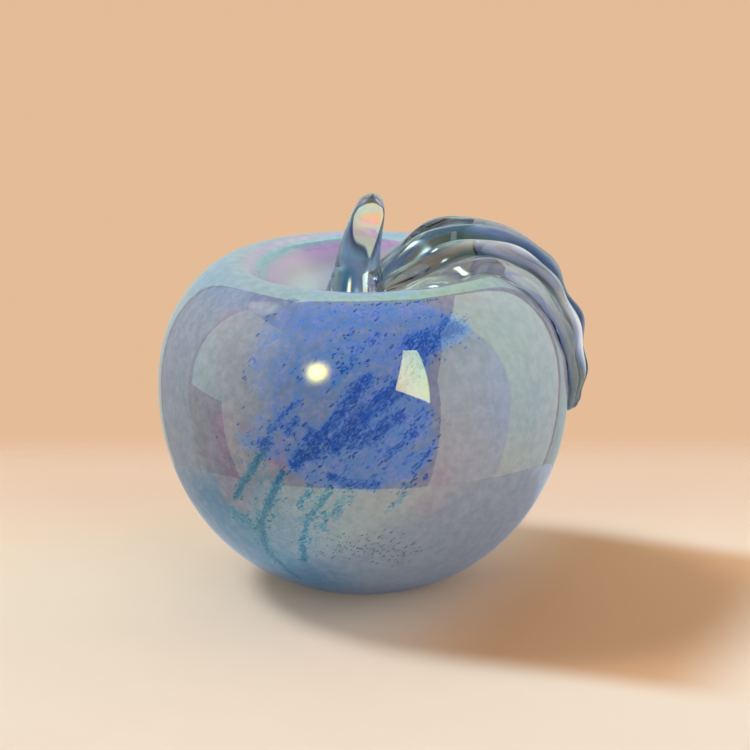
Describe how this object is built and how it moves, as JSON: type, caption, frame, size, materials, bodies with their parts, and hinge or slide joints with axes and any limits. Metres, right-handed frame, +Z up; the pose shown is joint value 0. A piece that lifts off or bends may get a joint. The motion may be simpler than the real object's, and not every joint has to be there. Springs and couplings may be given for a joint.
{
  "type": "art glass apple",
  "caption": "Free-standing art glass apple: hollow cased body with coloured frit under clear glass, drawn clear stem and ribbed clear leaf over one side.",
  "frame": {"origin": "centre of the flat foot, on the surface that the apple stands on", "axes": "+Z up along the body's axis, +X from the axis towards the leaf, +Y away from the viewer of the front"},
  "size_m": [0.1053, 0.1, 0.0957],
  "materials": {
    "clear_glass": "fire polished, iridised",
    "lavender_glass": "powdered colour under clear glass",
    "cobalt_frit": "coarse frit under clear glass",
    "aqua_frit": "fine frit under clear glass",
    "dark_frit": "chips under clear glass",
    "opal_glass": "opal white",
    "stem_glass": "fire polished, iridised",
    "leaf_glass": "fire polished, iridised"
  },
  "bodies": {
    "root": {"clear_casing": "clear_glass", "lavender_ground": "lavender_glass", "cobalt_patch": "cobalt_frit", "aqua_trails": "aqua_frit", "dark_chips": "dark_frit", "opal_bubble": "opal_glass", "stem": "stem_glass", "leaf": "leaf_glass"}
  },
  "joints": []
}
